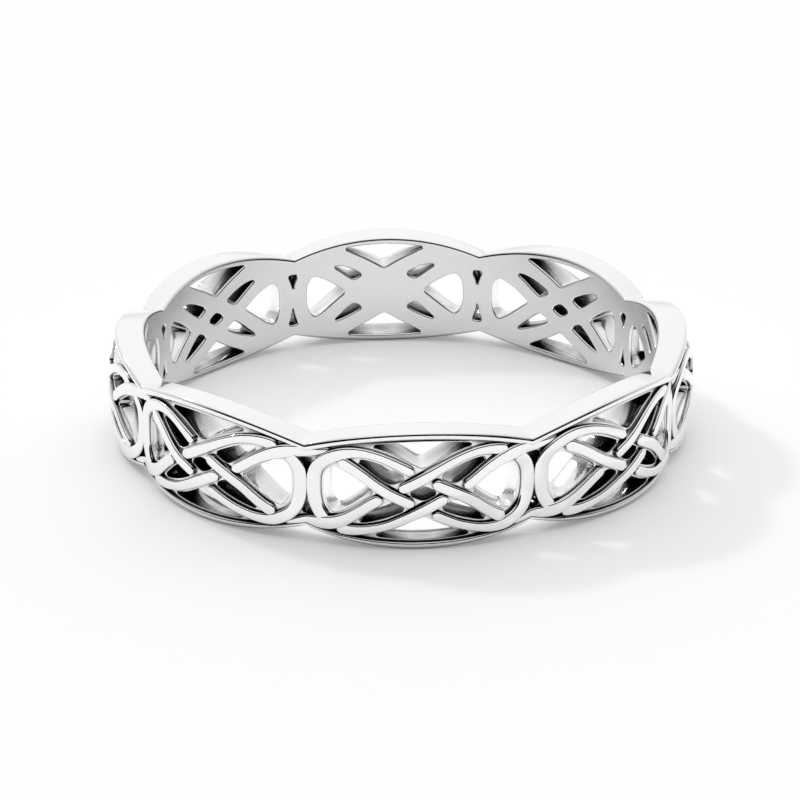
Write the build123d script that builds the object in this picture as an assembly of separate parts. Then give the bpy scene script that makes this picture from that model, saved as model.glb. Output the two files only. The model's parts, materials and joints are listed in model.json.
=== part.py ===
"""A Celtic knot band ring, cast in one piece, lying on its side with its axis upright.

Eight arched lobes stand side by side round the finger. Each lobe has a rim along its top and its bottom, and between
them two round strands that pass over and under each other, with a loop at each end of the lobe. The strands reach in
to the bore as ribs, so the gaps between them are cut right through. The origin is under the middle of the ring, on
the surface that it rests on. Lobe 0 is centred on -Y, and angles go from there towards +X.
"""

from build123d import *
import os
from math import cos, radians, sin, tan

# Band, in millimetres
inner_radius = 8.65
lobe_count = 8
lobe_half_width = 2.01
junction_half_width = 1.48

# Rims
junction_wall = 0.89
lobe_rise = 0.21
rim_width = 0.27
rim_edge_round = 0.12
bore_edge_round = 0.10

# Strands
strand_width = 0.46
strand_round = 0.20
rib_width = 0.57
crown_bulge = 0.17
crest_below_rim = 0.04
weave_lift = 0.12

# Closed plate in the middle of the lobe at the back
plate_thickness = 0.55
plate_length_share = 0.235
plate_height_share = 0.30

# Half of a strand, from the middle of its loop over the top of the lobe to the far junction. Columns: place along
# the lobe, as a share of half a lobe; height, as a share of the half width there; lift, as a share of weave_lift
STRAND_HALF = [
    (0.931, 0.000, 0.0),
    (0.916, 0.319, -0.3),
    (0.876, 0.561, -0.8),
    (0.809, 0.692, -1.0),
    (0.720, 0.767, -0.7),
    (0.600, 0.781, 0.0),
    (0.444, 0.724, 0.3),
    (0.222, 0.534, 0.8),
    (0.000, 0.299, 1.0),
    (-0.116, 0.150, 0.0),
    (-0.231, 0.000, -1.0),
    (-0.422, -0.219, -0.4),
    (-0.600, -0.440, 0.5),
    (-0.778, -0.651, 1.0),
    (-0.889, -0.770, 0.7),
    (-1.000, -0.865, 0.0),
]

half_lobe = 180 / lobe_count
plate_lobe = lobe_count // 2
rim_radius_junction = inner_radius + junction_wall
rim_radius_lobe = rim_radius_junction + lobe_rise
plate_radius = inner_radius + plate_thickness
rib_root = inner_radius - bore_edge_round
# Depths between which radial prisms are drawn, clear of the bore and of the crests
prism_near = inner_radius * cos(radians(half_lobe)) - bore_edge_round
prism_far = rim_radius_lobe + crown_bulge + weave_lift + rim_edge_round
middle_axis = Axis((0, 0, lobe_half_width), (0, -1, 0))


def half_width(share):
    """Half the band's width at a place along the lobe."""
    return lobe_half_width - (lobe_half_width - junction_half_width) * share**2


def rim_radius(share):
    """Outside of the rim at a place along the lobe."""
    return rim_radius_lobe - (rim_radius_lobe - rim_radius_junction) * share**2


def crest_radius(share, height, lift):
    """Top of a strand: the rim's radius, a bulge towards the middle of the lobe, and the weave's lift."""
    bulge = crown_bulge * (1 - share**2) * (1 - height**2)
    return rim_radius(share) - crest_below_rim + bulge + weave_lift * lift


def outward(share):
    """Direction away from the ring's axis at a place along the lobe."""
    angle = radians(share * half_lobe)
    return Vector(sin(angle), -cos(angle), 0)


def on_rib_root(share, height):
    """Point at the foot of a rib."""
    return outward(share) * rib_root + Vector(0, 0, lobe_half_width + height * half_width(share))


def facing_plane(depth):
    """Upright plane across lobe 0 at a depth in front of the ring's axis."""
    return Plane(origin=(0, -depth, lobe_half_width), x_dir=(1, 0, 0), z_dir=(0, -1, 0))


def upright_cylinder(radius, y=0):
    """Cylinder that stands well past the band's top and bottom."""
    return Pos(0, y, lobe_half_width) * Cylinder(radius, 4 * lobe_half_width)


def arched_prism(inset):
    """Radial prism with a lobe's arched outline, its top and bottom drawn in by inset."""
    low = junction_half_width - inset
    high = lobe_half_width - inset
    faces = []
    for depth in (prism_near, prism_far):
        side = depth * tan(radians(half_lobe))
        outline = [
            ThreePointArc((-side, low), (0, high), (side, low)),
            Line((side, low), (side, -low)),
            ThreePointArc((side, -low), (0, -high), (-side, -low)),
            Line((-side, -low), (-side, low)),
        ]
        faces.append(facing_plane(depth) * make_face(outline))
    return loft(faces, ruled=True)


def arched_edges(solid, radius):
    """The long edges of a lobe's top and bottom whose middles lie at a radius."""
    found = []
    for edge in solid.edges():
        middle = edge @ 0.5
        reach = Vector(middle.X, middle.Y, 0).length
        if edge.length > radius * radians(half_lobe) and abs(reach - radius) < rim_edge_round / 2:
            found.append(edge)
    return found


def rims():
    """The two rims of a lobe, with rounded edges inside and out."""
    side = rim_radius_junction * sin(radians(half_lobe))
    rise = rim_radius_lobe - rim_radius_junction * cos(radians(half_lobe))
    curve = (side**2 + rise**2) / (2 * rise)
    blank = arched_prism(0) & upright_cylinder(curve, curve - rim_radius_lobe)
    blank -= upright_cylinder(inner_radius)
    blank = fillet(arched_edges(blank, rim_radius_lobe), rim_edge_round)
    blank = fillet(arched_edges(blank, inner_radius), bore_edge_round)
    return blank - arched_prism(rim_width)


def strand_section(before, here, after, side):
    """Section of a strand: a rib with sloping flanks and a round crest, square to the strand's run."""
    share, height, lift = here
    out = outward(share)
    along = on_rib_root(*after[:2]) - on_rib_root(*before[:2])
    across = out.cross(along).normalized()
    crest = crest_radius(share, height, lift * side) - rib_root
    shoulder = crest - strand_round
    rib = rib_width / 2
    top = strand_width / 2
    outline = [
        Line((rib, 0), (top, shoulder)),
        ThreePointArc((top, shoulder), (0, crest), (-top, shoulder)),
        Line((-top, shoulder), (-rib, 0)),
        Line((-rib, 0), (rib, 0)),
    ]
    plane = Plane(origin=on_rib_root(share, height), x_dir=across, z_dir=across.cross(out))
    return plane * make_face(outline)


def half_strand(side):
    """Half of a strand: over the top of the lobe with side 1, or along its bottom with side -1."""
    rows = [(share, height * side, lift) for share, height, lift in STRAND_HALF]
    loop_share, loop_height, _ = rows[1]
    end_share, end_height, _ = rows[-2]
    first = (loop_share, -loop_height)
    last = (-2 - end_share, end_height)
    run = [first] + rows + [last]
    sections = [strand_section(run[i - 1], run[i], run[i + 1], side) for i in range(1, len(run) - 1)]
    return loft(sections, ruled=True)


def stamp_plate():
    """Plate that closes the middle of the weave."""
    height = plate_height_share * lobe_half_width
    faces = []
    for depth in (prism_near, plate_radius):
        length = depth * tan(radians(plate_length_share * half_lobe))
        faces.append(facing_plane(depth) * Rectangle(2 * length, 2 * height))
    return loft(faces, ruled=True)


def lobe(closed):
    """One lobe of the band, its middle closed by the plate or open."""
    halves = [half_strand(1), half_strand(-1)]
    pieces = halves + [half.rotate(middle_axis, 180) for half in halves]
    if closed:
        pieces.append(stamp_plate())
    weave = pieces[0].fuse(*pieces[1:]) & arched_prism(bore_edge_round)
    weave -= upright_cylinder(inner_radius)
    return weave.fuse(*rims().solids())


def knot_band():
    """The whole ring: the open lobe repeated round the axis, and the closed one at the back."""
    open_lobe = lobe(False)
    closed_lobe = lobe(True)
    lobes = []
    for i in range(lobe_count):
        pattern = closed_lobe if i == plate_lobe else open_lobe
        lobes.append(pattern.rotate(Axis.Z, i * 360 / lobe_count))
    return lobes[0].fuse(*lobes[1:])


os.makedirs("parts", exist_ok=True)
export_step(knot_band(), "parts/knot_band.step")
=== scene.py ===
"""Dresses the Celtic knot band ring: a pierced band with raised rims, woven wires, silver and the studio.

Sizes are worked in millimetres, with the ring's axis upright and the floor at height 0. A place along a lobe
is a share of half its length, from -1 at one junction to 1 at the next. Height is measured from the band's
middle, unless it is said to be a share.
"""

import json
from math import asin, cos, pi, radians, sin
from types import SimpleNamespace

import bmesh
import bpy
import numpy as np
from bpy.props import FloatProperty, FloatVectorProperty, PointerProperty
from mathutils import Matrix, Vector
from mathutils.geometry import delaunay_2d_cdt


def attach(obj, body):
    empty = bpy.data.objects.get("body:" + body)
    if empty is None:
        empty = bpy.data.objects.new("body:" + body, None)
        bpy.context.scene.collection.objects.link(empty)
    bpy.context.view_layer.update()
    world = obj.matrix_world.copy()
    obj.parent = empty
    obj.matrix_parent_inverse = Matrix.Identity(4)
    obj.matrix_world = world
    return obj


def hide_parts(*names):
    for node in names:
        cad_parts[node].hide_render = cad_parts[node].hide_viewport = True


bl_info = {
    "name": "Knot Band Ring",
    "version": (1, 0, 0),
    "blender": (4, 5, 0),
    "location": "3D View > Sidebar > Ring",
    "description": "Builds a pierced Celtic knot band ring, its polished silver and a pale studio",
    "category": "Add Mesh",
}

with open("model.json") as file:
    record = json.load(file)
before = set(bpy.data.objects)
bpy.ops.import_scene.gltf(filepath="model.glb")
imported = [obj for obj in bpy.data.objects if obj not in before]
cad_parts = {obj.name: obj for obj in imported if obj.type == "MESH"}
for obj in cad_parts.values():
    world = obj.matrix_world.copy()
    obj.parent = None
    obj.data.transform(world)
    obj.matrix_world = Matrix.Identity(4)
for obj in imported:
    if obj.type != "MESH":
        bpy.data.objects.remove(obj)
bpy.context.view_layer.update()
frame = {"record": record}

MM = 0.001
BODY = "root"
NODE = "knot_band"
BORE_MOUNT = frame["record"]["mounts"][0]
LOBES = 8
HALF_LOBE = radians(180 / LOBES)

# The lobe with the closed plate, and the share of its length that a slit keeps there
PLATE_LOBE = 4
PLATE_SLIT = 0.78

# Kinds of faces of the pierced band
WALL, BORE, LEDGE = 0, 1, 2

# Half of a strand, from the middle of its loop over the top of the lobe to where it slides under the next
# rim. Columns: place along the lobe, as a share of half a lobe; height, as a share of the half width there;
# width of the wire and width of the rib under it, in millimetres
STRAND_HALF = [
    (0.940, 0.000, 0.48, 0.63),
    (0.932, 0.250, 0.47, 0.62),
    (0.902, 0.420, 0.45, 0.60),
    (0.848, 0.545, 0.43, 0.58),
    (0.787, 0.625, 0.43, 0.55),
    (0.700, 0.686, 0.41, 0.52),
    (0.600, 0.706, 0.37, 0.50),
    (0.500, 0.691, 0.33, 0.48),
    (0.400, 0.645, 0.31, 0.48),
    (0.300, 0.572, 0.31, 0.48),
    (0.200, 0.477, 0.33, 0.47),
    (0.100, 0.375, 0.35, 0.46),
    (0.000, 0.270, 0.38, 0.45),
    (-0.100, 0.165, 0.38, 0.44),
    (-0.200, 0.070, 0.38, 0.44),
    (-0.270, 0.000, 0.38, 0.44),
    (-0.400, -0.155, 0.38, 0.46),
    (-0.500, -0.300, 0.38, 0.47),
    (-0.600, -0.430, 0.40, 0.48),
    (-0.700, -0.540, 0.44, 0.50),
    (-0.800, -0.630, 0.46, 0.52),
    (-0.900, -0.695, 0.42, 0.50),
    (-1.000, -0.742, 0.34, 0.46),
    (-1.100, -0.740, 0.25, 0.46),
    (-1.200, -0.765, 0.15, 0.46),
    (-1.300, -0.795, 0.09, 0.46),
]

# How many of these rows the lower end of a rib has, and of the wire on it
RIB_ROWS = 23
WIRE_ROWS = 21

# How far the weave is turned against the rims, as a share of half a lobe
WEAVE_TURN = 0.02

# Where the weave starts to sag and where it sags in full: shares along the lobe, and millimetres below the
# band's middle
SAG_SHARES = (0.35, 0.75)
SAG_DEPTHS = (0.2, 0.9)

# Where the ribs are trimmed towards the next lobe, and where they widen towards a rim, as shares along the
# lobe
TRIM_SHARES = (0.72, 0.86)
WEB_STARTS = (0.30, 0.45)
WEB_ENDS = (0.78, 0.68)

# Where a wire starts to dive under the next lobe's rim and where it lies under it, as shares along the lobe
TAIL_SHARES = (1.17, 1.29)

# Millimetres over which a wire rises to a crossing and dives under one, and how near it passes to its own
# crossings
RISE_REACH = 0.9
DIVE_REACH = 0.06
CROSSING_REACH = 0.3

# Least share of its width that a wire keeps at the tip of a rounded end
NOSE_LEAST = 0.15

# Depths below a rim's edge, in millimetres, where the ledges start to draw back from it and where they do so
# in full
LEDGE_FADE = (0.75, 0.20)

# Spacing in millimetres of the points along the wires, the ribs and the gaps' outlines
WIRE_SPACING = 0.028
RIB_SPACING = 0.10
GAP_SPACING = 0.075

# Least area of a gap in square millimetres. What is smaller closes
LEAST_GAP = 0.03

# Where a strand's half crosses another, whether it lies over (1) or under (-1) it there, and how far from the
# crossing its rounded end lies where it is under. Columns: place along the lobe and height, as in the table
# above; side; distance in millimetres
CROSSINGS = [
    (0.780, 0.637, -1, 0.18),
    (0.000, 0.270, 1, 0.33),
    (-0.270, 0.000, -1, 0.30),
    (-0.780, -0.620, 1, 0.25),
]


# Sizes, finish and studio that a user may change


def length(name, description, millimetres):
    """A length property, given in millimetres and kept in metres."""
    return FloatProperty(
        name=name, description=description, default=millimetres * MM, unit="LENGTH", precision=6)


def colour(name, description, default):
    """A colour property."""
    return FloatVectorProperty(
        name=name, description=description, subtype="COLOR", size=4, min=0, max=1, default=default)


def factor(name, description, default):
    """A property from 0 to 1."""
    return FloatProperty(name=name, description=description, subtype="FACTOR", min=0, max=1, default=default)


class RingSizes(bpy.types.PropertyGroup):
    """Sizes of the ring."""

    bore_radius: length("Bore radius", "Radius of the finger hole", BORE_MOUNT["dims"]["r_mm"])
    middle_height: length(
        "Middle height", "Height of the band's middle above the floor", BORE_MOUNT["pos_m"][2] / MM)
    lobe_half_width: length("Lobe half width", "Half the band's width in the middle of a lobe", 2.01)
    junction_half_width: length("Junction half width", "Half the band's width between two lobes", 1.48)
    rim_radius_lobe: length("Rim radius, lobe", "Outside of the rim in the middle of a lobe", 9.67)
    rim_radius_junction: length("Rim radius, junction", "Outside of the rim between two lobes", 9.50)
    rim_step: length("Rim step", "Height of the raised edge of a rim", 0.25)
    rim_thinning: length("Rim thinning", "How much lower the raised edge is under the junctions", 0.13)
    rim_slope: length("Rim slope", "How far the top falls outwards between two lobes", 0.135)
    rim_round: length("Rim round", "Rounding of a rim's outer edge", 0.12)
    step_round: length("Step round", "Rounding of the raised edge beside the crease", 0.07)
    bore_round: length("Bore round", "Rounding of the edges of the bore", 0.17)
    sheet_edge: length("Sheet edge", "Depth from a rim's edge to where the pierced wall begins", 0.13)
    rim_ledge: length("Rim ledge", "Depth from a rim's edge to the gaps of the weave, at the bore", 0.28)
    crown_bulge: length("Crown bulge", "How far the weave swells in the middle of a lobe", 0.29)
    ledge_drop: length("Ledge drop", "Depth of the ledges below the rim's outside", 0.17)
    rib_draft: length("Rib draft", "How much further out the gaps' walls stand on the outside", 0.05)
    gap_round: length("Gap round", "Rounding of the gaps' edges at the bore", 0.08)
    weave_drop: length("Weave drop", "How far the weave sits below the band's middle", 0.01)
    lower_sag: length("Lower sag", "How much lower the weave hangs at the bottom beside the junctions", 0.15)
    outer_rib: length("Outer rib", "Reach of the ribs of the loops towards the next lobe", 0.18)
    rim_web: length("Rim web", "How much wider a rib is where it nears a rim", 0.09)
    wire_height: length("Wire height", "Height of the wires above the ledges", 0.14)
    wire_shoulder: length("Wire shoulder", "Rounding of the wires' edges", 0.07)
    wire_root: length("Wire root", "Depth of the wires in the ledges", 0.20)
    wire_rise: length("Wire rise", "How much higher a wire is where it crosses over", 0.04)
    wire_dive: length("Wire dive", "How much lower a wire is where it crosses under", 0.30)
    rim_gap: length("Rim gap", "Least depth of a wire's end below a rim's edge", 0.10)


class RingFinish(bpy.types.PropertyGroup):
    """Finish of the silver, with the painted shade of its creases, gaps and recesses, and its satin inside
    painted darker as shade.
    """

    silver: colour("Silver", "Colour of the polished metal", (0.93, 0.93, 0.94, 1.0))
    # Painted shade: the colour that the metal is painted where creases, gaps and marked recesses lie in
    # shadow
    recess: colour("Recess", "Colour of the metal deep in the creases", (0.03, 0.03, 0.032, 1.0))
    polish: factor("Polish", "Roughness of the polished outside", 0.07)
    # Painted shade: the satin inside is painted a darker colour than the polished outside, shading the bore;
    # its roughness is the satin finish itself
    satin_silver: colour("Satin silver", "Colour of the satin inside", (0.78, 0.78, 0.79, 1.0))
    satin: factor("Satin", "Roughness of the smooth inside", 0.24)
    satin_reach: length("Satin reach", "Radius out to which the metal is satin", 8.652)
    # Painted shade: how far the painted shade of the finest creases and of the gaps reaches
    crease: length("Crease", "How far the dark of the finest creases reaches", 0.12)
    hollow: length("Hollow", "How far the shade of the gaps reaches", 0.90)


class RingStudio(bpy.types.PropertyGroup):
    """Floor, lights and camera."""

    floor: colour("Floor", "Colour of the floor", (0.92, 0.92, 0.92, 1.0))
    floor_glow: FloatProperty(
        name="Floor glow", description="Light of the floor itself, as of a light table", default=0.30, min=0)
    key_strength: FloatProperty(
        name="Key strength", description="Strength of the key light", default=0.5, min=0)
    side_shade: factor("Side shade", "How much dimmer the dome is at the sides", 0.45)
    dome_strength: FloatProperty(
        name="Dome strength", description="Strength of the soft dome", default=1.0, min=0)


def in_millimetres(group):
    """The values of a group of sizes, its lengths in millimetres."""
    values = {}
    for prop in group.bl_rna.properties:
        if prop.type == "FLOAT" and prop.unit == "LENGTH":
            values[prop.identifier] = getattr(group, prop.identifier) / MM
    return SimpleNamespace(**values)


# Form of the band, with numbers or arrays of them


def fold(share):
    """Place in its own lobe, from -1 to 1, of a place that may lie past the lobe's end."""
    return (share + 1) % 2 - 1


def half_width(ring, share):
    """Half the band's width at a place along the lobe."""
    return ring.lobe_half_width - (ring.lobe_half_width - ring.junction_half_width) * fold(share) ** 2


def rim_radius(ring, share):
    """Outside of the rim at a place along the lobe."""
    return ring.rim_radius_lobe - (ring.rim_radius_lobe - ring.rim_radius_junction) * fold(share) ** 2


def ledge_radius(ring, share, height):
    """Surface of the ledges, from which the wires stand up."""
    rise = np.clip(height / half_width(ring, share), -1, 1) ** 2
    bulge = ring.crown_bulge * (1 - fold(share) ** 2) * (1 - rise)
    return rim_radius(ring, share) - ring.ledge_drop + bulge


def rim_foot(ring, share, sign):
    """Depth of the crease below the edge at the bore, for the top with sign 1 and the bottom with sign -1."""
    if sign > 0:
        return ring.rim_step + ring.rim_slope * fold(share) ** 2
    return ring.rim_step - ring.rim_thinning * fold(share) ** 2


def ease(x, start=0, end=1):
    """Smooth step from 0 at the start to 1 at the end."""
    x = np.clip((x - start) / (end - start), 0, 1)
    return x * x * (3 - 2 * x)


def weave_sag(ring, share, height):
    """How far the weave hangs below its even layout."""
    beside = ease(np.abs(fold(share)), *SAG_SHARES)
    low = ease(-height, *SAG_DEPTHS)
    return ring.weave_drop + ring.lower_sag * beside * low


def on_ring(ring, share, height, radius):
    """Point in the part's frame, in millimetres."""
    angle = share * HALF_LOBE
    return Vector((radius * sin(angle), -radius * cos(angle), ring.middle_height + height))


def finished(name, bm):
    """A mesh object made from a bmesh in millimetres, with its faces pointing outwards."""
    bmesh.ops.recalc_face_normals(bm, faces=bm.faces)
    bmesh.ops.scale(bm, vec=(MM, MM, MM), verts=bm.verts)
    mesh = bpy.data.meshes.new(name)
    bm.to_mesh(mesh)
    bm.free()
    piece = bpy.data.objects.new(name, mesh)
    bpy.context.scene.collection.objects.link(piece)
    return piece


# Paths of the strands, in the band laid out flat: along the lobe, and height

# Steps of the smooth curve from one row to the next
CURVE_STEPS = 24


def flat_scale(ring):
    """Millimetres along the middle of the band's wall to one share of half a lobe."""
    return HALF_LOBE * (ring.bore_radius + ring.rim_radius_lobe) / 2


def arc_length(path):
    """How far each point lies along a flat path."""
    steps = np.linalg.norm(np.diff(path[:, :2], axis=0), axis=1)
    return np.concatenate([[0], np.cumsum(steps)])


def smooth_run(rows, spacing):
    """Evenly spaced points on a smooth curve through the rows, whose first two columns are places."""
    rows = np.array(rows, float)
    rows = np.vstack([2 * rows[0] - rows[1], rows, 2 * rows[-1] - rows[-2]])
    t = np.linspace(0, 1, CURVE_STEPS, endpoint=False)[:, None]
    run = []
    for a, b, c, d in zip(rows, rows[1:], rows[2:], rows[3:]):
        square = (2 * a - 5 * b + 4 * c - d) * t**2
        cube = (3 * b - a - 3 * c + d) * t**3
        run.append((2 * b + (c - a) * t + square + cube) / 2)
    run = np.vstack(run + [rows[-2:-1]])
    gone = arc_length(run)
    even = np.linspace(0, gone[-1], int(gone[-1] / spacing) + 1)
    return np.column_stack([np.interp(even, gone, run[:, i]) for i in range(run.shape[1])])


def strand_rows(ring, side):
    """Rows of a strand's half laid out flat, over the top with side 1 or along the bottom with side -1."""
    scale = flat_scale(ring)
    rows = []
    for share, height, wire_width, rib_width in STRAND_HALF:
        rows.append((share * scale, side * height * half_width(ring, share), wire_width, rib_width))
    return rows


def strand_path(ring, spacing, under_end):
    """The whole strand laid out flat, with its widths. Its lower end is cut at the row under_end."""
    return smooth_run(strand_rows(ring, -1)[:under_end][::-1] + strand_rows(ring, 1)[1:], spacing)


def sideways(path):
    """Directions square to a flat path."""
    along = np.gradient(path[:, :2], axis=0)
    along /= np.linalg.norm(along, axis=1)[:, None]
    return np.column_stack([-along[:, 1], along[:, 0]])


# The gaps of the weave

# Steps along a rim to each lobe, and a factor that keeps the last step of a lobe on its own side
RIM_STEPS = 40
NOT_QUITE = 0.999999

# Distance in millimetres below which points of the flat layout are one, and the shares along the lobe between
# which the middles of its own gaps lie
SAME_POINT = 1e-5
OWN_SHARES = (-0.99, 1.01)

# Fewest points round a gap, and how often its corners are eased
LEAST_CORNERS = 16
EASE_ROUNDS = 3


def ribbon_mesh(ring):
    """Flat ribs of three neighbouring lobes and their rims, as points and quads for the triangulation."""
    points, quads = [], []
    scale = flat_scale(ring)

    def add_band(low, high):
        start = len(points)
        points.extend(np.stack([low, high], axis=1).reshape(-1, 2))
        for i in range(start, len(points) - 2, 2):
            quads.append((i, i + 2, i + 3, i + 1))

    path = strand_path(ring, RIB_SPACING, RIB_ROWS)
    line = path[:, :2]
    place = line[:, 0] / scale
    reach = path[:, 3] / 2 + ring.rib_draft
    inner_reach = sideways(path) * reach[:, None]
    trim = np.maximum(path[:, 3] / 2 - ring.outer_rib, 0) * ease(np.abs(place), *TRIM_SHARES)
    web = ring.rim_web * ease(place, *WEB_STARTS) * ease(place, *WEB_ENDS)
    outer_reach = sideways(path) * (reach - trim + web)[:, None]
    for way in (1, -1):
        for lobe in (-1, 0, 1):
            shift = np.array([2 * lobe * scale, 0])
            add_band(way * (line - outer_reach) + shift, way * (line + inner_reach) + shift)
    shares = np.linspace(-3, 3, RIM_STEPS * 3 + 1)
    for sign in (-1, 1):
        foot = half_width(ring, shares * NOT_QUITE) - ring.rim_ledge
        foot = sign * foot + weave_sag(ring, shares, sign * foot)
        low, high = sorted((foot, foot + sign), key=np.mean)
        add_band(np.column_stack([shares * scale, low]), np.column_stack([shares * scale, high]))
    return points, quads


def even_loop(corners, spacing):
    """Evenly spaced points round a closed outline, its corners eased."""
    closed = np.vstack([corners, corners[:1]])
    gone = arc_length(closed)
    even = np.linspace(0, gone[-1], max(LEAST_CORNERS, int(gone[-1] / spacing)), endpoint=False)
    loop = np.column_stack([np.interp(even, gone, closed[:, i]) for i in (0, 1)])
    for _ in range(EASE_ROUNDS):
        loop = loop / 2 + (np.roll(loop, 1, axis=0) + np.roll(loop, -1, axis=0)) / 4
    return loop


def gap_outlines(ring):
    """Outlines of the gaps of one lobe in the flat layout, counted once, anticlockwise."""
    points, quads = ribbon_mesh(ring)
    cut = delaunay_2d_cdt([Vector(p) for p in points], [], quads, 0, SAME_POINT)
    bm = bmesh.new()
    corners = [bm.verts.new((p.x, p.y, 0)) for p in cut[0]]
    for face, ribs in zip(cut[2], cut[5]):
        if not ribs:
            bm.faces.new([corners[i] for i in face])
    bmesh.ops.dissolve_faces(bm, faces=bm.faces, use_verts=False)
    scale = flat_scale(ring)
    outlines = []
    for face in bm.faces:
        middle = face.calc_center_median()
        own = OWN_SHARES[0] < middle.x / scale < OWN_SHARES[1] and abs(middle.y) < ring.lobe_half_width
        if own and face.calc_area() > LEAST_GAP:
            loop = np.array([v.co.xy for v in face.verts])
            x, y = loop[:, 0], loop[:, 1]
            if np.sum(x * np.roll(y, -1) - np.roll(x, -1) * y) < 0:
                loop = loop[::-1]
            outlines.append(even_loop(loop, GAP_SPACING))
    bm.free()
    return outlines


def grown(loop, distance):
    """A closed anticlockwise loop moved outwards by a distance."""
    along = np.roll(loop, -1, axis=0) - np.roll(loop, 1, axis=0)
    along /= np.linalg.norm(along, axis=1)[:, None]
    return loop + distance * np.column_stack([along[:, 1], -along[:, 0]])


# The pierced band

# Share of the gaps' rounding past which a point lies on the flat sheet
NEAR = 0.99

# Longest edge of the sheet in millimetres, and how often longer ones are halved
LONG_EDGE = 0.5
SHEET_CUTS = 3

# Places of the rows on a gap's rounded edge, as shares of its width
EDGE_ROWS = (0, 0.22, 0.6, 1)

# Rows on the rounded edge at the bore and across a rim's flat top, as shares of their way
BORE_ROWS = (0.2, 0.4, 0.6, 0.8, 1)
TOP_ROWS = (0.33, 0.67)

# Turns of the rows on the raised edge beside the crease, in degrees
STEP_TURNS = (0, 30, 60, 90)

# Distance in millimetres below which the points of the crease become one
CREASE_JOIN = 0.004


def washer(ring, share, height):
    """Place in the band laid out as a flat washer, where lobes are turned copies of each other."""
    angle = share * HALF_LOBE
    reach = ring.bore_radius + height
    return Vector((reach * sin(angle), -reach * cos(angle), 0))


def from_washer(ring, place):
    """Place along the ring, in shares from lobe 0's middle, and height of a place in the washer."""
    share = np.arctan2(place.x, -place.y) / HALF_LOBE
    return float(share), place.xy.length - ring.bore_radius


def new_verts(made):
    """The points among the geometry that an operator made."""
    return [v for v in made if isinstance(v, bmesh.types.BMVert)]


def grow_edges(bm, edges):
    """Faces grown from the edges of a loop. Returns the points and the edges of the new loop."""
    made = bmesh.ops.extrude_edge_only(bm, edges=edges)["geom"]
    return new_verts(made), [e for e in made if isinstance(e, bmesh.types.BMEdge) and e.is_boundary]


def closed_loop(bm, places):
    """Edges of a closed loop through the places."""
    verts = [bm.verts.new(place) for place in places]
    return [bm.edges.new((a, b)) for a, b in zip(verts, verts[1:] + verts[:1])]


def gap_rings(bm, ring, outline, lobe, layers):
    """Rings of faces round one gap of a lobe, from its wall outwards."""
    scale = flat_scale(ring)
    shift = 2 * lobe + WEAVE_TURN
    sag = weave_sag(ring, outline[:, 0] / scale, outline[:, 1])
    outline = outline - np.column_stack([np.zeros(len(outline)), sag])
    directions = grown(outline, 1) - outline
    edges = closed_loop(bm, [washer(ring, x / scale + shift, y) for x, y in outline])
    verts = bm.verts[-len(outline):]
    for part in EDGE_ROWS:
        distance = ring.gap_round * part
        if part:
            verts, edges = grow_edges(bm, edges)
        for vert, (x, y), (dx, dy) in zip(verts, outline, directions):
            vert.co = washer(ring, (x + dx * distance) / scale + shift, y + dy * distance)
            vert[layers.depth] = distance
            vert[layers.grow_share] = dx / scale
            vert[layers.grow_height] = dy


# Turns at the corners of a rounded edge, in degrees
ROUND_TURNS = (0, 18, 36, 54, 72, 90)


def round_off(radius, distance):
    """How far a rounded edge lies below the face at a distance from the wall."""
    left = max(radius - distance, 0)
    return radius - (radius**2 - left**2) ** 0.5


def rim_profile(ring, share, sign):
    """Rows of a rim from the bore to the crease, as radius and depth below the edge at the bore."""
    outside = rim_radius(ring, share)
    foot = rim_foot(ring, share, sign)
    rows = []
    start = asin(1 - ring.sheet_edge / ring.bore_round)
    for part in BORE_ROWS:
        a = start + (pi / 2 - start) * part
        rows.append((ring.bore_radius + ring.bore_round * (1 - cos(a)), ring.bore_round * (1 - sin(a))))
    inner_edge = ring.bore_radius + ring.bore_round
    outer_edge = outside - ring.rim_round
    for part in TOP_ROWS:
        rows.append((inner_edge + (outer_edge - inner_edge) * part, 0))
    for turn in ROUND_TURNS:
        a = radians(turn)
        rows.append((outer_edge + ring.rim_round * sin(a), ring.rim_round * (1 - cos(a))))
    slope = max(foot - ring.rim_step, 0) / (outside - ring.bore_radius)
    rows = [(radius, below + slope * (radius - ring.bore_radius)) for radius, below in rows]
    for turn in STEP_TURNS:
        a = radians(turn)
        rows.append((outside - ring.step_round * (1 - cos(a)), foot - ring.step_round * (1 - sin(a))))
    return rows


# Where the middles of the centre gap and of the slits lie: shares along the lobe, and millimetres from the
# band's middle
CENTRE_GAP = 0.05
SLIT_SHARES = (0.2, 0.55)
SLIT_HEIGHTS = (0.5, 1)


def plate_outline(ring, outline):
    """A gap's outline in the lobe with the closed middle: slits are shorter, and the centre gap is None."""
    share, height = np.abs(outline.mean(axis=0)) / (flat_scale(ring), 1)
    if share < CENTRE_GAP and height < CENTRE_GAP:
        return None
    if SLIT_SHARES[0] < share < SLIT_SHARES[1] and SLIT_HEIGHTS[0] < height < SLIT_HEIGHTS[1]:
        far = outline[np.argmax(np.abs(outline[:, 0]))]
        return far + (outline - far) * PLATE_SLIT
    return outline


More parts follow.
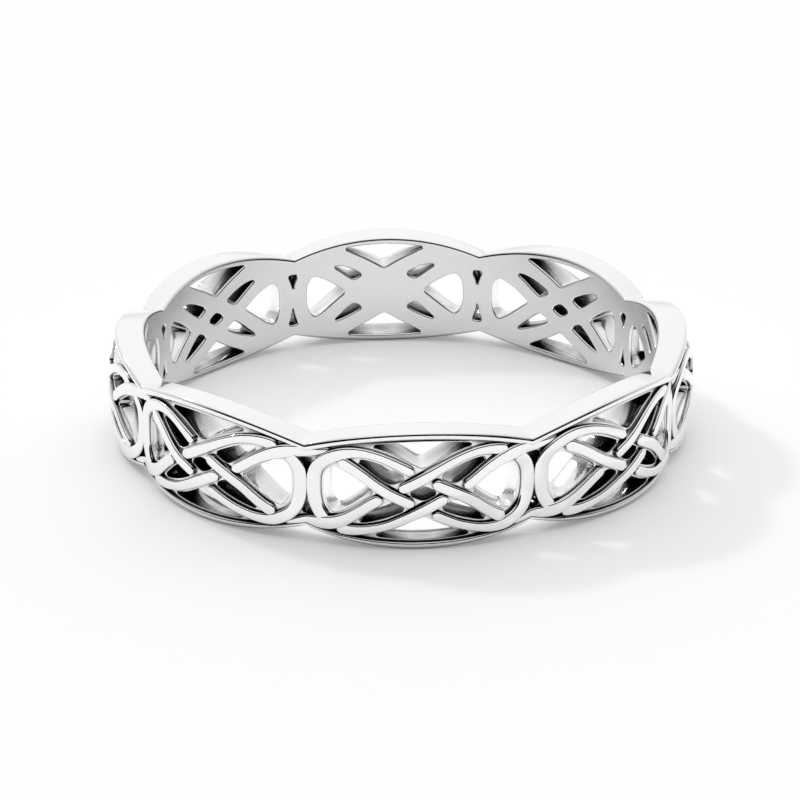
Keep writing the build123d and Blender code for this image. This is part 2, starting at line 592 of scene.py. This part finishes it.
def add_sheet(bm, ring, layers):
    """The flat sheet between the gaps and the rims, in triangles short enough to bend."""
    places = np.arange(LOBES * RIM_STEPS) * 2 / RIM_STEPS - LOBES
    for sign in (-1, 1):
        closed_loop(bm, [washer(ring, s, sign * (half_width(ring, s) - ring.sheet_edge)) for s in places])
        for vert in bm.verts[-len(places):]:
            vert[layers.depth] = ring.gap_round

    def on_sheet(element):
        return all(v[layers.depth] > ring.gap_round * NEAR for v in element.verts)

    edges = [e for e in bm.edges if len(e.link_faces) < 2 and on_sheet(e)]
    bmesh.ops.triangle_fill(bm, use_beauty=True, use_dissolve=False, edges=edges)
    for _ in range(SHEET_CUTS):
        long = [e for e in bm.edges if e.calc_length() > LONG_EDGE and len(e.link_faces) == 2 and on_sheet(e)]
        bmesh.ops.subdivide_edges(bm, edges=long, cuts=1)
        bmesh.ops.triangulate(bm, faces=[f for f in bm.faces if on_sheet(f)])
        inside = [e for e in bm.edges if len(e.link_faces) == 2 and all(on_sheet(f) for f in e.link_faces)]
        bmesh.ops.beautify_fill(bm, faces=[f for f in bm.faces if on_sheet(f)], edges=inside)


def pierced_band(ring):
    """The band with its gaps, rims and ledges, as one closed mesh."""
    bm = bmesh.new()
    layers = SimpleNamespace(
        depth=bm.verts.layers.float.new("depth"),
        outer=bm.verts.layers.int.new("outer"),
        share=bm.verts.layers.float.new("share"),
        rim=bm.verts.layers.int.new("rim"),
        grow_share=bm.verts.layers.float.new("grow_share"),
        grow_height=bm.verts.layers.float.new("grow_height"),
        recess=bm.verts.layers.float.new("recess"),
        kind=bm.faces.layers.int.new("kind"))
    outlines = gap_outlines(ring)
    for lobe in range(LOBES):
        for outline in outlines:
            if lobe == PLATE_LOBE:
                outline = plate_outline(ring, outline)
            if outline is not None:
                gap_rings(bm, ring, outline, lobe, layers)
    add_sheet(bm, ring, layers)

    # The wall between the bore and the ledges, and the bend round the finger
    for vert in bm.verts:
        vert[layers.rim] = vert.is_boundary and vert[layers.depth] > ring.gap_round / 2
    for vert in new_verts(bmesh.ops.extrude_face_region(bm, geom=bm.faces[:])["geom"]):
        vert[layers.outer] = 1
    for face in bm.faces:
        sides = {v[layers.outer] for v in face.verts}
        face[layers.kind] = WALL if len(sides) == 2 else (LEDGE if sides == {1} else BORE)
    for vert in bm.verts:
        bend(ring, vert, layers)
    add_rims(bm, ring, layers)
    return bm


def bend(ring, vert, layers):
    """Moves a point of the washer to its place on the bore or on the ledges."""
    share, height = from_washer(ring, vert.co)
    sign = 1 if height > 0 else -1
    below = half_width(ring, share) - abs(height)
    if vert[layers.outer]:
        spread = ring.rib_draft * (1 - vert[layers.depth] / ring.gap_round)
        share += vert[layers.grow_share] * spread
        height += vert[layers.grow_height] * spread
        below = half_width(ring, share) - abs(height)
        height -= sign * (rim_foot(ring, share, sign) - ring.sheet_edge) * float(ease(below, *LEDGE_FADE))
        room = ring.gap_round - ring.rib_draft
        rounding = round_off(room, room * vert[layers.depth] / ring.gap_round)
        radius = float(ledge_radius(ring, share, height)) - rounding
    else:
        rounding = round_off(ring.gap_round, vert[layers.depth]) + round_off(ring.bore_round, below)
        radius = ring.bore_radius + rounding
    vert[layers.share] = share
    vert.co = on_ring(ring, share, height, radius)


def set_kind(made, layers, kind):
    """Marks the new faces among some geometry."""
    for element in made:
        if isinstance(element, bmesh.types.BMFace):
            element[layers.kind] = kind


def add_rims(bm, ring, layers):
    """The rims, grown from the edges of the bore to the edges of the ledges."""
    walls = [f for f in bm.faces if f[layers.kind] == WALL and all(v[layers.rim] for v in f.verts)]
    for sign in (-1, 1):
        ends = ([], [])
        for wall in walls:
            for edge in wall.edges:
                side = {v[layers.outer] for v in edge.verts}
                if len(side) == 1 and (edge.verts[0].co.z - ring.middle_height) * sign > 0:
                    ends[side.pop()].append(edge)
        ledge = {v for e in ends[1] for v in e.verts}
        edges = ends[0]
        for row in range(len(rim_profile(ring, 0, sign))):
            made = bmesh.ops.extrude_edge_only(bm, edges=edges)["geom"]
            set_kind(made, layers, WALL)
            edges = [e for e in made if isinstance(e, bmesh.types.BMEdge) and len(e.link_faces) == 1]
            for vert in {v for e in edges for v in e.verts}:
                share = vert[layers.share]
                radius, below = rim_profile(ring, share, sign)[row]
                vert.co = on_ring(ring, share, sign * (half_width(ring, share) - below), float(radius))
        made = bmesh.ops.extrude_edge_only(bm, edges=edges)["geom"]
        set_kind(made, layers, WALL)
        foot = new_verts(made)
        # The crease at a rim's foot and the ledge's edge beside it are marked for painted shade
        for vert in foot + list(ledge):
            vert[layers.recess] = 1
        for vert in foot:
            share = vert[layers.share]
            height = sign * (half_width(ring, share) - rim_foot(ring, share, sign))
            vert.co = on_ring(ring, share, height, float(ledge_radius(ring, share, height)))
        bmesh.ops.remove_doubles(bm, verts=foot + list(ledge), dist=CREASE_JOIN)
    bmesh.ops.delete(bm, geom=walls, context="FACES_ONLY")
    bmesh.ops.delete(bm, geom=[e for e in bm.edges if e.is_wire], context="EDGES")


# Angles in degrees past which an edge is shaded sharp
BAND_SHARP = 38
WIRE_SHARP = 50


def shade_band(ring, piece):
    """Smooth shading with true normals on the bore and on the ledges, so that long triangles don't show."""
    mesh = piece.data
    mesh.shade_smooth()
    mesh.set_sharp_from_angle(angle=radians(BAND_SHARP))
    kinds = np.zeros(len(mesh.polygons), int)
    mesh.attributes["kind"].data.foreach_get("value", kinds)
    depths = np.zeros(len(mesh.vertices))
    mesh.attributes["depth"].data.foreach_get("value", depths)
    normals = np.array([n.vector for n in mesh.corner_normals])
    co = np.array([v.co for v in mesh.vertices]) / MM
    height = co[:, 2] - ring.middle_height
    angle = np.arctan2(co[:, 0], -co[:, 1])
    share = angle / HALF_LOBE
    out = np.column_stack([np.sin(angle), -np.cos(angle), np.zeros(len(co))])
    around = np.column_stack([np.cos(angle), np.sin(angle), np.zeros(len(co))])
    small = 1e-3
    rise = ledge_radius(ring, share, height + small) - ledge_radius(ring, share, height - small)
    up_slope = rise / (2 * small)
    rise = ledge_radius(ring, share + small, height) - ledge_radius(ring, share - small, height)
    along_slope = rise / (2 * small * HALF_LOBE * ledge_radius(ring, share, height))
    ledge = out - along_slope[:, None] * around - np.outer(up_slope, (0, 0, 1))
    ledge /= np.linalg.norm(ledge, axis=1)[:, None]
    for face in mesh.polygons:
        kind = kinds[face.index]
        if not kind:
            continue
        for corner in face.loop_indices:
            vert = mesh.loops[corner].vertex_index
            if depths[vert] > ring.gap_round * NEAR:
                normals[corner] = -out[vert] if kind == BORE else ledge[vert]
    mesh.normals_split_custom_set(normals.tolist())


# The woven wires

# Share of its half width that a wire's edges may be rounded by
ROUND_SHARE = 0.9

# Change from one point of a path to the next past which every point is kept, and how many points a step has
# elsewhere
QUICK_TURN = 0.01
EVEN_STEP = 3

# Where painted shade starts on a wire's flank and where it is full, in depths of its rounded edge below the
# top
FLANK = (0.5, 1.5)


def wire_section(ring, half):
    """Outline of a wire's section of a half width, across and up from the ledge."""
    shoulder = min(ring.wire_shoulder, half * ROUND_SHARE)
    rows = [(-half, -ring.wire_root)]
    for sign in (-1, 1):
        for turn in ROUND_TURNS[::-sign]:
            a = radians(turn)
            across = half - shoulder + shoulder * cos(a)
            rows.append((sign * across, ring.wire_height - ring.wire_shoulder * (1 - sin(a))))
    rows.append((half, -ring.wire_root))
    return rows


def over_and_under(ring, path):
    """How far a wire lies above its usual height, and the share of its width that is left, along its path."""
    scale = flat_scale(ring)
    gone = arc_length(path)
    loop = int(np.argmax(path[:, 0]))
    lift = -ring.wire_dive * ease(np.abs(path[:, 0] / scale), *TAIL_SHARES)
    left = np.ones(len(path))
    for side, part in ((-1, slice(0, loop)), (1, slice(loop, None))):
        for share, height, over, nose in CROSSINGS:
            spot = np.array([share * scale, side * height * half_width(ring, share)])
            off = np.linalg.norm(path[part, :2] - spot, axis=1)
            if off.min() > CROSSING_REACH:
                continue
            away = np.abs(gone - gone[part][int(np.argmin(off))])
            if over * side > 0:
                lift = lift + ring.wire_rise * ease(away, RISE_REACH, 0)
            else:
                lift = lift - ring.wire_dive * ease(away, nose, nose - DIVE_REACH)
                into_nose = np.clip((away - nose) / (path[:, 2] / 2), 0, 1)
                left = np.minimum(left, np.maximum(np.sqrt(1 - (1 - into_nose) ** 2), NOSE_LEAST))
    return lift, left


def wire(bm, ring, path, way, recess):
    """One wire swept along its flat path, bent round the ring, or turned upside down with way -1."""
    lift, left = over_and_under(ring, path)
    turning = np.abs(np.gradient(left)) + np.abs(np.gradient(lift)) > QUICK_TURN
    kept = turning | (np.arange(len(path)) % EVEN_STEP == 0)
    kept[-1] = True
    shares = way * path[kept, 0] / flat_scale(ring) + WEAVE_TURN
    heights = way * path[kept, 1]
    heights = heights - weave_sag(ring, shares, heights)
    halves = path[kept, 2] / 2 * left[kept]
    radii = ledge_radius(ring, shares, heights) + lift[kept]
    spine = [on_ring(ring, s, h, float(r)) for s, h, r in zip(shares, heights, radii)]
    edges = None
    for i, centre in enumerate(spine):
        share = shares[i]
        along = spine[min(i + 1, len(spine) - 1)] - spine[max(i - 1, 0)]
        out = on_ring(ring, share, 0, 1) - on_ring(ring, share, 0, 0)
        across = out.cross(along).normalized()
        room = half_width(ring, share) + ring.rim_step - ring.rim_gap
        top = room - rim_foot(ring, share, 1)
        bottom = room - rim_foot(ring, share, -1)
        section = wire_section(ring, float(halves[i]))
        places = [centre + across * u + out * v for u, v in section]
        if edges is None:
            edges = closed_loop(bm, places)
            verts = bm.verts[-len(places):]
            bmesh.ops.edgenet_fill(bm, edges=edges)
        else:
            verts, edges = grow_edges(bm, edges)
        for vert, place, (_, up) in zip(verts, places, section):
            place.z = min(max(place.z, ring.middle_height - bottom), ring.middle_height + top)
            vert.co = place
            # Painted shade on a wire's flank, fuller the deeper it lies below the top
            depth = (ring.wire_height - up) / ring.wire_shoulder
            vert[recess] = float(ease(depth, *FLANK))
    bmesh.ops.edgenet_fill(bm, edges=edges)


def woven_wires(ring):
    """Both strands of a lobe, and their turned copies round the ring."""
    bm = bmesh.new()
    # Mask of painted shade on the wires' flanks
    recess = bm.verts.layers.float.new("recess")
    path = strand_path(ring, WIRE_SPACING, WIRE_ROWS)
    wire(bm, ring, path, 1, recess)
    wire(bm, ring, path, -1, recess)
    everything = bm.verts[:] + bm.edges[:] + bm.faces[:]
    bmesh.ops.spin(
        bm, geom=everything, cent=(0, 0, 0), axis=(0, 0, 1), dvec=(0, 0, 0), steps=LOBES - 1,
        angle=2 * HALF_LOBE * (LOBES - 1), use_merge=False, use_normal_flip=False, use_duplicate=True)
    return bm


# Materials


class Socket:
    """A node's output as a number that can be calculated with."""

    def __init__(self, nodes, output):
        self.nodes = nodes
        self.output = output

    def _maths(self, operation, first, second=None):
        values = [first] if second is None else [first, second]
        return self.nodes.add("ShaderNodeMath", {"operation": operation}, dict(enumerate(values)))

    def __add__(self, other):
        return self._maths("ADD", self, other)

    __radd__ = __add__

    def __sub__(self, other):
        return self._maths("SUBTRACT", self, other)

    def __rsub__(self, other):
        return self._maths("SUBTRACT", other, self)

    def __mul__(self, other):
        return self._maths("MULTIPLY", self, other)

    __rmul__ = __mul__

    def __pow__(self, other):
        return self._maths("POWER", self, other)

    def clamped(self):
        """The value held between 0 and 1."""
        return self.nodes.add("ShaderNodeClamp", {}, {0: self})


class Nodes:
    """Adds nodes to a tree."""

    def __init__(self, tree):
        self.tree = tree
        tree.nodes.clear()

    def add(self, kind, settings, values, output=0):
        """A node with its settings and the values or links of its sockets. Returns one of its outputs."""
        node = self.tree.nodes.new(kind)
        for name, value in settings.items():
            if name == "stops":
                self._set_stops(node.color_ramp, value)
            else:
                setattr(node, name, value)
        for name, value in values.items():
            socket = node.inputs[name]
            if isinstance(value, Socket):
                self.tree.links.new(value.output, socket)
            else:
                socket.default_value = value
        if not node.outputs:
            return None
        return Socket(self, node.outputs[output])

    @staticmethod
    def _set_stops(ramp, stops):
        while len(ramp.elements) < len(stops):
            ramp.elements.new(0.5)
        for element, (place, level) in zip(ramp.elements, stops):
            element.position = place
            element.color = (level, level, level, 1)


FINISH = "bright_cast_silver"

# Width in metres of the change from satin to polished metal
SATIN_BLEND = 0.00002

# Scales of the faint waves and of the polishing lines, and how strongly they show
WAVE_SCALE = 900.0
WAVE_STRENGTH = 0.15
WAVE_DEPTH = 0.00002
LINE_SCALE = 9000.0
LINE_ROUGHNESS = 0.05

# How quickly painted shade darkens the metal into the finest creases and into the gaps, how dark the painted
# shade of the marked recesses is, and how many rays look for nearby metal
CREASE_GAIN, CREASE_LOSS = 1.6, 0.15
HOLLOW_GAIN, HOLLOW_LOSS = 1.6, 0.25
RECESS_SHADE = 0.85
SHADE_RAYS = 8


def polished_silver(finish):
    """Bright cast silver: a fine polish with faint waves, painted dark as shade deep in the creases, gaps and
    marked recesses, and a satin inside painted darker as shade.
    """
    material = bpy.data.materials.new(FINISH)
    material.use_nodes = True
    nodes = Nodes(material.node_tree)
    place = nodes.add("ShaderNodeTexCoord", {}, {}, "Object")
    waves = nodes.add("ShaderNodeTexNoise", {}, {"Vector": place, "Scale": WAVE_SCALE, "Detail": 2.0})
    polish_lines = nodes.add("ShaderNodeTexNoise", {}, {"Vector": place, "Scale": LINE_SCALE, "Detail": 3.0})
    rays = {"samples": SHADE_RAYS, "only_local": False}
    # Occlusion that sets where painted shade falls in the finest creases and in the gaps
    creases = nodes.add("ShaderNodeAmbientOcclusion", rays, {"Distance": finish.crease}, "AO")
    hollows = nodes.add("ShaderNodeAmbientOcclusion", rays, {"Distance": finish.hollow}, "AO")
    # Mask of painted shade marked on the rims' creases and the wires' flanks
    recess = nodes.add("ShaderNodeAttribute", {"attribute_name": "recess"}, {}, "Fac")
    # Shares of the metal left free of painted shade
    clear_of_crease_shade = (creases * CREASE_GAIN - CREASE_LOSS).clamped()
    clear_of_hollow_shade = (hollows * HOLLOW_GAIN - HOLLOW_LOSS).clamped()
    free_of_painted_shade = clear_of_crease_shade * clear_of_hollow_shade * (1.0 - recess * RECESS_SHADE)
    across = nodes.add("ShaderNodeSeparateXYZ", {}, {"Vector": place}, "X")
    away = nodes.add("ShaderNodeSeparateXYZ", {}, {"Vector": place}, "Y")
    reach = (across * across + away * away) ** 0.5
    outside = ((reach - finish.satin_reach) * (1 / SATIN_BLEND)).clamped()
    # The satin inside painted darker than the polished outside, as shade in the bore
    metal = nodes.add(
        "ShaderNodeMix", {"data_type": "RGBA"},
        {"Factor": outside, "A": tuple(finish.satin_silver), "B": tuple(finish.silver)}, 2)
    # The metal painted dark as shade in creases, gaps and marked recesses
    metal_with_painted_shade = nodes.add(
        "ShaderNodeMix", {"data_type": "RGBA"},
        {"Factor": free_of_painted_shade, "A": tuple(finish.recess), "B": metal}, 2)
    roughness = outside * (finish.polish - finish.satin) + finish.satin + polish_lines * LINE_ROUGHNESS
    bump = nodes.add(
        "ShaderNodeBump", {}, {"Strength": WAVE_STRENGTH, "Distance": WAVE_DEPTH, "Height": waves})
    shader = nodes.add(
        "ShaderNodeBsdfPrincipled", {},
        {"Base Color": metal_with_painted_shade, "Metallic": 1.0, "Roughness": roughness, "Normal": bump})
    nodes.add("ShaderNodeOutputMaterial", {}, {"Surface": shader})
    return material


# Scale of the floor's faint grain, its roughness and how much the grain adds to it
GRAIN_SCALE = 40.0
FLOOR_ROUGHNESS = 0.8
GRAIN_ROUGHNESS = 0.02


def matt_floor(studio):
    """Plain pale floor."""
    material = bpy.data.materials.new("pale_floor")
    material.use_nodes = True
    nodes = Nodes(material.node_tree)
    place = nodes.add("ShaderNodeTexCoord", {}, {}, "Object")
    grain = nodes.add("ShaderNodeTexNoise", {}, {"Vector": place, "Scale": GRAIN_SCALE, "Detail": 1.0})
    shader = nodes.add(
        "ShaderNodeBsdfPrincipled", {},
        {"Base Color": tuple(studio.floor), "Roughness": grain * GRAIN_ROUGHNESS + FLOOR_ROUGHNESS,
         "Specular IOR Level": 0.0, "Emission Color": (1.0, 1.0, 1.0, 1.0),
         "Emission Strength": studio.floor_glow})
    nodes.add("ShaderNodeOutputMaterial", {}, {"Surface": shader})
    return material


# Operators


def dress(piece):
    """The piece rides with the ring, stands for the plain node and takes its finish."""
    material = bpy.data.materials.get(FINISH) or polished_silver(bpy.context.scene.ring_finish)
    piece.data.materials.append(material)
    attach(piece, BODY)
    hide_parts(NODE)


class RING_OT_pierced_band(bpy.types.Operator):
    """Build the band with its gaps, ledges and raised rims"""

    bl_idname = "ring.pierced_band"
    bl_label = "Pierced Band"

    def execute(self, context):
        ring = in_millimetres(context.scene.ring_sizes)
        piece = finished("pierced_band", pierced_band(ring))
        shade_band(ring, piece)
        dress(piece)
        return {"FINISHED"}


class RING_OT_woven_wires(bpy.types.Operator):
    """Build the raised wires that pass over and under each other"""

    bl_idname = "ring.woven_wires"
    bl_label = "Woven Wires"

    def execute(self, context):
        ring = in_millimetres(context.scene.ring_sizes)
        piece = finished("woven_wires", woven_wires(ring))
        piece.data.shade_smooth()
        piece.data.set_sharp_from_angle(angle=radians(WIRE_SHARP))
        dress(piece)
        return {"FINISHED"}


class RING_OT_studio(bpy.types.Operator):
    """Set the pale floor, the soft light and the camera"""

    bl_idname = "ring.studio"
    bl_label = "Studio"

    def execute(self, context):
        scene = context.scene
        studio = scene.ring_studio
        add_floor(studio)
        add_lights(scene, studio)
        add_camera(scene)
        scene.view_settings.view_transform = "Standard"
        scene.view_settings.look = "None"
        return {"FINISHED"}


# Floor in metres, angles of the key light in degrees
FLOOR_SIZE = 1.2
KEY_AZIMUTH = 44
KEY_ELEVATION = 38.8
KEY_SPREAD = 6

# Brightness of the dome from straight down (0) to straight up (1). The dark band in front draws the fine dark
# lines on the wires and rims
FRONT_DOME = [(0.0, 0.9), (0.49, 0.9), (0.50, 0.0), (0.80, 0.0), (0.93, 0.95), (1.0, 1.0)]
BACK_DOME = [(0.0, 0.9), (0.5, 0.8), (0.6, 1.0), (1.0, 1.0)]

# How quickly the front dome changes to the back one
DOME_TURN = 2.0


def add_floor(studio):
    """Plain floor under the ring."""
    bm = bmesh.new()
    bmesh.ops.create_grid(bm, x_segments=1, y_segments=1, size=FLOOR_SIZE / 2)
    mesh = bpy.data.meshes.new("floor")
    bm.to_mesh(mesh)
    bm.free()
    floor = bpy.data.objects.new("floor", mesh)
    bpy.context.scene.collection.objects.link(floor)
    mesh.materials.append(matt_floor(studio))


def add_lights(scene, studio):
    """A sun-like key from behind on the left, and a soft white dome."""
    key = bpy.data.lights.new("key", "SUN")
    key.energy = studio.key_strength
    key.angle = radians(KEY_SPREAD)
    holder = bpy.data.objects.new("key", key)
    scene.collection.objects.link(holder)
    azimuth, elevation = radians(KEY_AZIMUTH), radians(KEY_ELEVATION)
    towards = Vector((-sin(azimuth) * cos(elevation), cos(azimuth) * cos(elevation), sin(elevation)))
    holder.rotation_euler = towards.to_track_quat("Z", "Y").to_euler()
    world = bpy.data.worlds.new("soft_dome")
    scene.world = world
    world.use_nodes = True
    nodes = Nodes(world.node_tree)
    direction = nodes.add("ShaderNodeTexCoord", {}, {}, "Generated")
    sideways = nodes.add("ShaderNodeSeparateXYZ", {}, {"Vector": direction}, "X")
    forward = nodes.add("ShaderNodeSeparateXYZ", {}, {"Vector": direction}, "Y")
    upward = nodes.add("ShaderNodeSeparateXYZ", {}, {"Vector": direction}, "Z")
    height = upward * 0.5 + 0.5
    front = nodes.add("ShaderNodeValToRGB", {"stops": FRONT_DOME}, {"Fac": height})
    back = nodes.add("ShaderNodeValToRGB", {"stops": BACK_DOME}, {"Fac": height})
    level = nodes.add(
        "ShaderNodeMix", {"data_type": "RGBA"},
        {"Factor": (forward * DOME_TURN + 0.5).clamped(), "A": front, "B": back}, 2)
    strength = (1.0 - sideways * sideways * studio.side_shade) * studio.dome_strength
    background = nodes.add("ShaderNodeBackground", {}, {"Color": level, "Strength": strength})
    nodes.add("ShaderNodeOutputWorld", {}, {"Surface": background})


# Distances in metres, angles in degrees, lens and sensor in millimetres, shift as a share of the sensor
CAMERA_DISTANCE = 0.12541
CAMERA_ELEVATION = 21.85
CAMERA_AZIMUTH = -3.64
CAMERA_LENS = 165.95
CAMERA_SENSOR = 36
CAMERA_SHIFT = (-0.0015, -0.0272)
CAMERA_RANGE = (0.001, 10)


def add_camera(scene):
    """Camera at the photograph's angle."""
    camera = bpy.data.cameras.new("camera")
    camera.lens = CAMERA_LENS
    camera.sensor_width = CAMERA_SENSOR
    camera.shift_x, camera.shift_y = CAMERA_SHIFT
    camera.clip_start, camera.clip_end = CAMERA_RANGE
    holder = bpy.data.objects.new("camera", camera)
    scene.collection.objects.link(holder)
    azimuth, elevation = radians(CAMERA_AZIMUTH), radians(CAMERA_ELEVATION)
    away = Vector((sin(azimuth) * cos(elevation), -cos(azimuth) * cos(elevation), sin(elevation)))
    centre = Vector(BORE_MOUNT["pos_m"])
    holder.location = centre + away * CAMERA_DISTANCE
    holder.rotation_euler = away.to_track_quat("Z", "Y").to_euler()
    scene.camera = holder


class RING_PT_panel(bpy.types.Panel):
    """Buttons and sizes in the sidebar"""

    bl_idname = "RING_PT_panel"
    bl_label = "Knot Band Ring"
    bl_space_type = "VIEW_3D"
    bl_region_type = "UI"
    bl_category = "Ring"

    def draw(self, context):
        for kind in OPERATORS:
            self.layout.operator(kind.bl_idname)
        for group in (context.scene.ring_sizes, context.scene.ring_finish, context.scene.ring_studio):
            column = self.layout.column()
            for name in group.__annotations__:
                column.prop(group, name)


GROUPS = {"ring_sizes": RingSizes, "ring_finish": RingFinish, "ring_studio": RingStudio}
OPERATORS = (RING_OT_studio, RING_OT_pierced_band, RING_OT_woven_wires)


def register():
    """Make the groups, operators and panel known to Blender."""
    for name, group in GROUPS.items():
        bpy.utils.register_class(group)
        setattr(bpy.types.Scene, name, PointerProperty(type=group))
    for kind in OPERATORS + (RING_PT_panel,):
        bpy.utils.register_class(kind)


def unregister():
    """Take them away again."""
    for kind in reversed(OPERATORS + (RING_PT_panel,)):
        bpy.utils.unregister_class(kind)
    for name, group in GROUPS.items():
        delattr(bpy.types.Scene, name)
        bpy.utils.unregister_class(group)


def main():
    """Build the studio, the pierced band and the woven wires."""
    register()
    bpy.ops.ring.studio()
    bpy.ops.ring.pierced_band()
    bpy.ops.ring.woven_wires()


if __name__ == "__main__":
    main()
